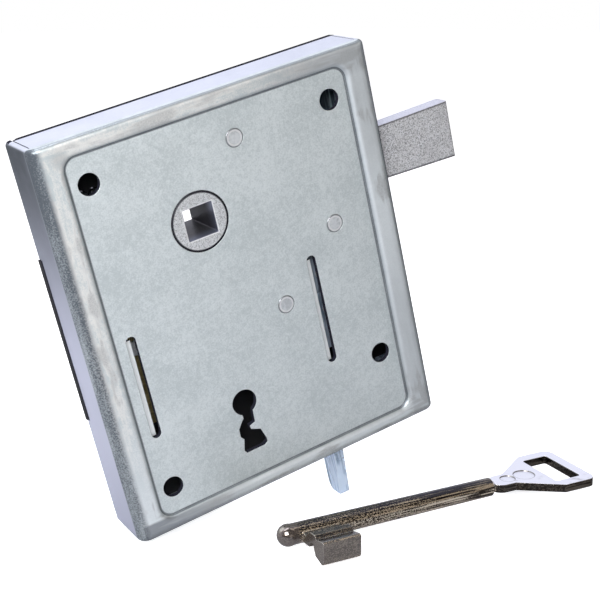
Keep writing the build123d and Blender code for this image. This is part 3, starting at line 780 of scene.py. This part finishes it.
nickelLook = {
    "dark": (0.035, 0.028, 0.022),
    "gold": (1.0, 0.86, 0.66),
    # painted reflection: dark on the upper faces, pale underneath, bright on the bow's flats
    "crown": (0.03, 0.032, 0.045),
    "pale": (0.90, 0.80, 0.74),
    "flat": (0.90, 0.91, 0.97),
    # painted shade: dark for the bow's sides, the ball and the bit's sides; side also colours the dishes
    # stamped in the flats
    "side": (0.05, 0.045, 0.04),
    "ballTone": (0.24, 0.21, 0.195),
    "bit": (0.26, 0.23, 0.205),
    "rub": (0.70, 0.66, 0.60),
    # the key's own directions, from the centre of its ball: along the shank to the bow, across it, and up
    "ball": (-0.00491, -0.03435, -0.08006),
    "lengthAxis": (0.97437, -0.02827, -0.22335),
    "acrossAxis": (0.02756, 0.99960, -0.00632),
    "upAxis": (0.22325, 0.0, 0.97476),
    # grains, and how much of the key's length they get, so that wear is drawn out along the shank
    "grain": (4600.0, 1.0, 0.5),
    "grainLength": 0.6,
    "drawn": (2600.0, 2.0, 0.6),
    "drawnLength": 0.03,
    "drawnBase": 0.25,
    "drawnBow": 0.55,
    "patch": (170.0, 3.0, 0.6),
    "toBow": (0.015, 0.05),
    "wornShares": (0.93, 0.07),
    "wornBand": (0.46, 0.58),
    # bands along and across the key, and by how far a face looks up or down
    "bitAcross": (0.0028, 0.0032),
    "bitEnd": (0.018, 0.02),
    "bitLooksUp": (0.3, 0.6),
    "looksDown": (0.62, 0.85),
    "looksUp": (0.6, 0.78),
    "flatLooksUp": (0.9, 0.97),
    "bowStart": (0.0625, 0.0629),
    "ballBand": (0.0015, 0.003),
    "bowPatches": (0.4, 0.6),
    "flatPatches": (0.6, 0.75),
    "marks": ((0.0678, 0.0021), (0.0733, 0.0030)),  # place along the key and radius of the two dishes
    "markBand": (0.00005, 0.00016),
    "shares": {
        "crown": 0.92, "crownWorn": 0.25, "paleBase": 0.5, "bit": 0.8, "bow": 0.85, "ball": 0.85,
        "rub": 0.8, "flatPatches": 0.3, "marks": 0.75,
    },
    "metallic": 0.93,
    "metallicBow": 0.07,
    "metallicUnder": 0.55,
    "roughness": 0.2,
    "roughSpread": 0.2,
    "roughFlat": 0.12,
    "roughBall": 0.1,
    "edgeRadius": 0.0003,
    "bump": (0.00001, 0.4),
}


def keyNickel():
    # shank and bit worn to dark and gold grains; painted reflection makes the upper faces dark, the lower faces
    # pale and the bow's flats bright, and painted shade darkens the bow's sides, the ball and the bit's sides
    finish, look, shares = Finish("keyNickel"), nickelLook, nickelLook["shares"]
    away = finish.node("ShaderNodeVectorMath", {"operation": "SUBTRACT"}, {0: finish.place, 1: look["ball"]})
    length, across, height = (finish.reach(away, look[axis]) for axis in ("lengthAxis", "acrossAxis", "upAxis"))
    drop = -height
    upward = finish.reach(finish.faceNormal(), look["upAxis"])
    facing = abs(upward)

    def keyNoise(name):
        # noise on the key's own axes
        where = {"X": length * look[name + "Length"], "Y": across, "Z": drop}
        return finish.noise(*look[name], where=finish.node("ShaderNodeCombineXYZ", {}, where))

    grain, drawn, patch = keyNoise("grain"), keyNoise("drawn"), finish.noise(*look["patch"])
    toBow = length.above(*look["toBow"])
    speckle = grain + (drawn - grain) * (toBow * look["drawnBow"] + look["drawnBase"])
    worn = weighted((speckle, patch), look["wornShares"]).above(*look["wornBand"])
    # painted shade on the sides and end of the bit, where its faces do not look up or down
    bit = (-across).above(*look["bitAcross"]) * length.below(*look["bitEnd"])
    # painted reflection of the white table on the faces that look down
    under = (-upward).above(*look["looksDown"])
    bow = length.above(*look["bowStart"])
    # painted shade on the ball at the tip
    ball = length.below(*look["ballBand"])
    # painted reflection: bright on the bow's flats
    flat = bow * facing.above(*look["flatLooksUp"])
    first, second = (
        abs(radial(length - place, across) - radius).below(*look["markBand"]) for place, radius in look["marks"]
    )
    # painted shade on the bow's sides
    bowSides = finish.blend(patch.above(*look["bowPatches"]), look["side"], look["dark"])
    flatShare = 1.0 - patch.above(*look["flatPatches"]) * shares["flatPatches"]
    rounded = finish.softEdge(look["edgeRadius"])
    # painted reflection: dark on the faces that look up
    crown = upward.above(*look["looksUp"]) * (1.0 - worn * shares["crownWorn"])
    colour = finish.layered(finish.blend(worn, look["dark"], look["gold"]), [
        (crown * shares["crown"], look["crown"]),
        (under * (shares["paleBase"] + patch).clamped(), look["pale"]),
        (bit * facing.below(*look["bitLooksUp"]) * shares["bit"], look["bit"]),
        (bow * shares["bow"], bowSides),
        (ball * shares["ball"], look["ballTone"]),
        (finish.edgeMask(rounded) * shares["rub"], look["rub"]),
        (flat * flatShare, look["flat"]),
        (flat * first.most(second) * shares["marks"], look["side"]),
    ])
    roughness = look["roughness"] + (grain - 0.5) * look["roughSpread"]
    metallic = look["metallic"] + bow * look["metallicBow"]
    return finish.close(
        {
            "Base Color": colour,
            "Metallic": metallic - under * (1.0 - bow) * look["metallicUnder"],
            "Roughness": roughness + flat * look["roughFlat"] - ball * look["roughBall"],
            "Normal": finish.bump(grain, *look["bump"], rounded),
        }
    )


plated = platedSteel()
turned = turnedSteel("turnedSteel", False)
riveted = turnedSteel("rivetedSteel", True)
wire = springWire()

finishOf = {
    "case_shell": galvanisedSheet("galvanisedSheet", True),
    "cover_plate": coverSheet(),
    "bolt_guide_bracket": galvanisedSheet("innerZinc", False),
    "follower": zincCasting("hubCasting", True),
    "latch_bolt": zincCasting("zincCasting", False),
    "latch_tail_post": riveted,
    "divider_post": riveted,
    "lever_post": riveted,
    "latch_spring_stud": turned,
    "deadbolt_rivets": turned,
    "lever_stump": turned,
    "bracket_rivets": turned,
    "night_bolt_stud": turned,
    "latch_spring": wire,
    "tumbler_spring": wire,
    "night_bolt_spring": wire,
    "tumbler_lever": leverBrass(),
    "deadbolt_tail": plated,
    "deadbolt_head": plated,
    "night_bolt": plated,
    "key": keyNickel(),
}
for name, material in finishOf.items():
    mesh = nodes[name].data
    mesh.materials.clear()
    mesh.materials.append(material)
print("finishes made:", len(set(finishOf.values())))


coils = {
    "latch_spring": {
        "name": "latchSpringCoil", "axis": 0, "wire": 0.0009, "turns": 10, "steps": 28, "sides": 12,
        "joint": "latch_slide", "fixedEnd": "low", "travel": 0.01515,
    },
    "tumbler_spring": {
        "name": "tumblerSpringCoil", "axis": 2, "wire": 0.0006, "turns": 7, "steps": 28, "sides": 12,
        "joint": "tumbler_lift", "fixedEnd": "high", "travel": 0.0046,
    },
}


def springCoil(node, about):
    # a tube along a helix: the angle grows evenly with the length, and around each point of the helix
    # lies a circle of wire, in the plane of the outward direction and the coil's axis
    low, high = (np.array(corner, float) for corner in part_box(node))
    axis, first, second = (np.eye(3)[(about["axis"] + turn) % 3] for turn in range(3))
    wireRadius = about["wire"] / 2
    length = (high - low)[about["axis"]]
    coilRadius = (high - low)[(about["axis"] + 1) % 3] / 2 - wireRadius
    start = (low + high) / 2 - axis * (length / 2 - wireRadius)
    share = np.linspace(0.0, 1.0, about["turns"] * about["steps"] + 1)[:, None]
    angle = share * (2.0 * math.pi * about["turns"])
    outward = np.cos(angle) * first + np.sin(angle) * second
    middle = start + axis * (length - about["wire"]) * share + outward * coilRadius
    around = np.linspace(0.0, 2.0 * math.pi, about["sides"] + 1)[:-1][None, :, None]
    rings = middle[:, None, :] + wireRadius * (np.cos(around) * outward[:, None, :] + np.sin(around) * axis)
    count, sides = rings.shape[:2]
    row, side = np.meshgrid(np.arange(count - 1) * sides, np.arange(sides), indexing="ij")
    beside = (side + 1) % sides
    quads = np.stack([row + side, row + beside, row + sides + beside, row + sides + side], axis=-1)
    ends = [list(range(sides))[::-1], list(range((count - 1) * sides, count * sides))]
    faces = quads.reshape(-1, 4).tolist() + ends
    mesh = bpy.data.meshes.new(about["name"])
    mesh.from_pydata(rings.reshape(-1, 3).tolist(), [], faces)
    mesh.polygons.foreach_set("use_smooth", [len(face) == 4 for face in faces])
    mesh.materials.append(wire)
    coil = bpy.data.objects.new(about["name"], mesh)
    bpy.context.scene.collection.objects.link(coil)
    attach(coil, "case")
    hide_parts(node)
    anchor = (low + high) / 2
    anchor[about["axis"]] = (low if about["fixedEnd"] == "low" else high)[about["axis"]]
    keep = (length - about["travel"]) / length
    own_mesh(coil)


for node, about in coils.items():
    springCoil(node, about)
print("springs made:", len(coils))


studio = {
    "caseCorner": (-0.0369, -0.0165, -0.0755),  # lower left corner of the case
    "tableUp": (0.2324, 0.0, 0.9726),
    "tableDrop": 0.0011,
    "tableShift": (0.06, 0.0, -0.0143),  # along the table, from that corner to the middle of the disc
    "tableRadius": 1.5,
    "tableSides": 96,
    "tableWhite": (0.84, 0.84, 0.85),
    "tableFar": (0.14, 0.145, 0.18),
    "farShare": 0.8,
    "cameraGlow": 0.75,
    "cameraTint": (1.0, 1.0, 1.0),
    "mirrorGlow": 0.34,
    "mirrorTint": (0.80, 0.82, 1.0),
    "glowPlace": (-0.03, 0.05, -0.08),
    "glowReach": (0.08, 0.3),
    "glowBehind": (-0.06, 0.08),
    "ambient": 0.42,
    "frontSky": (0.16, 0.14, 0.13),
    "backSky": (0.88, 0.89, 1.0),
    "skyTurn": (-0.25, 0.45),  # where the view turns from the front to the back
    "lamps": {
        "softLeft": {
            "place": (-0.16, -0.25, 0.21), "aim": (-0.03, 0.0, 0.0), "size": (0.2, 0.2),
            "power": 2.0, "tint": (0.97, 0.98, 1.0),
        },
        "keyGlint": {
            "place": (0.33, -0.11, 0.22), "aim": (0.03, -0.034, -0.09), "size": (0.12, 0.3),
            "power": 0.13, "tint": (1.0, 0.93, 0.82),
        },
        "softTop": {
            "place": (0.0, 0.12, 0.55), "aim": (0.0, 0.0, -0.03), "size": (0.5, 0.4),
            "power": 2.4, "tint": (0.90, 0.92, 1.0),
        },
        "softFront": {
            "place": (0.10, -0.75, -0.02), "aim": (0.0, 0.0, -0.03), "size": (0.4, 0.4),
            "power": 0.2, "tint": (1.0, 1.0, 0.98),
        },
    },
}


def roundTable():
    # a flat disc just below the case's corner: cosine and sine of an even angle, times the radius, then
    # turned so that its face looks along the table's up
    up = Vector(studio["tableUp"]).normalized()
    middle = Vector(studio["caseCorner"]) - up * studio["tableDrop"] + Vector(studio["tableShift"])
    turns = np.linspace(0.0, 2.0 * math.pi, studio["tableSides"] + 1)[:-1]
    rim = np.stack([np.cos(turns), np.sin(turns), np.zeros_like(turns)], axis=1) * studio["tableRadius"]
    mesh = bpy.data.meshes.new("table")
    mesh.from_pydata(rim.tolist(), [], [list(range(len(turns)))])
    mesh.transform(Matrix.Translation(middle) @ up.to_track_quat("Z", "Y").to_matrix().to_4x4())
    table = bpy.data.objects.new("table", mesh)
    bpy.context.scene.collection.objects.link(table)
    return table


def tablePaint():
    # matt white; the camera sees it close to white; reflections see it painted dark far off, with a painted
    # glow behind the lock
    finish = Finish("tablePaint")
    camera, mirror = finish.node("ShaderNodeLightPath", {}, {}, ("Is Camera Ray", "Is Glossy Ray"))
    y = finish.parts(finish.place)[1]
    ends = {0: finish.place, 1: studio["glowPlace"]}
    away = finish.node("ShaderNodeVectorMath", {"operation": "DISTANCE"}, ends, "Value")
    near = y.above(*studio["glowBehind"]) * away.below(*studio["glowReach"])
    # painted shade in reflections far from the lock, and a painted glow near it
    far = mirror * (1.0 - near) * studio["farShare"]
    paint = finish.blend(far, studio["tableWhite"], studio["tableFar"])
    matt = finish.node("ShaderNodeBsdfDiffuse", {}, {"Color": paint}, "BSDF")
    tint = finish.blend(mirror, studio["cameraTint"], studio["mirrorTint"])
    strength = camera * studio["cameraGlow"] + mirror * near * studio["mirrorGlow"]
    glow = finish.node("ShaderNodeEmission", {}, {"Strength": strength, "Color": tint})
    both = finish.node("ShaderNodeAddShader", {}, {0: matt, 1: glow})
    finish.node("ShaderNodeOutputMaterial", {}, {"Surface": both})
    return finish.owner


def softBox(name, about):
    lamp = bpy.data.lights.new(name, "AREA")
    lamp.shape = "RECTANGLE"
    lamp.size, lamp.size_y = about["size"]
    lamp.energy = about["power"]
    lamp.color = about["tint"]
    box = bpy.data.objects.new(name, lamp)
    bpy.context.scene.collection.objects.link(box)
    box.location = about["place"]
    toward = Vector(about["aim"]) - Vector(about["place"])
    box.rotation_euler = toward.to_track_quat("-Z", "Y").to_euler()


def roomLight():
    # white where the camera looks; reflections see it bright behind the lock and dim in front of it
    room = Finish("room", world=True)
    camera, mirror = room.node("ShaderNodeLightPath", {}, {}, ("Is Camera Ray", "Is Glossy Ray"))
    y = room.parts(room.place)[1]
    low, high = studio["skyTurn"]
    behind = room.node("ShaderNodeMapRange", {}, {"Value": y, "From Min": low, "From Max": high})
    sky = room.blend(behind, studio["frontSky"], studio["backSky"])
    dim = room.node("ShaderNodeBackground", {}, {"Strength": studio["ambient"]})
    bright = room.node("ShaderNodeBackground", {}, {"Color": sky})
    white = room.node("ShaderNodeBackground", {}, {"Color": (1.0, 1.0, 1.0)})
    seen = room.node("ShaderNodeMixShader", {}, {0: mirror, 1: dim, 2: bright})
    seen = room.node("ShaderNodeMixShader", {}, {0: camera, 1: seen, 2: white})
    room.node("ShaderNodeOutputWorld", {}, {"Surface": seen})
    bpy.context.scene.world = room.owner


table = roundTable()
table.data.materials.append(tablePaint())
roomLight()
for name, about in studio["lamps"].items():
    softBox(name, about)

cameraLook = {
    "place": (-0.116286, -0.310868, 0.103607),
    "forward": (0.39148, 0.83875, -0.37848),
    "up": (0.35483, 0.24190, 0.90310),
    "lens": 81.83,
    "sensor": 36.0,
    "nearest": 0.01,
}


def photoCamera():
    lens = bpy.data.cameras.new("photoCamera")
    lens.lens = cameraLook["lens"]
    lens.sensor_width = cameraLook["sensor"]
    lens.clip_start = cameraLook["nearest"]
    view = bpy.data.objects.new("photoCamera", lens)
    bpy.context.scene.collection.objects.link(view)
    back = -Vector(cameraLook["forward"]).normalized()
    right = Vector(cameraLook["up"]).cross(back).normalized()
    up = back.cross(right)
    turn = Matrix((right, up, back)).transposed().to_4x4()
    view.matrix_world = Matrix.Translation(cameraLook["place"]) @ turn
    return view


bpy.context.scene.camera = photoCamera()
bpy.context.scene.view_settings.view_transform = "Standard"
print("studio set")
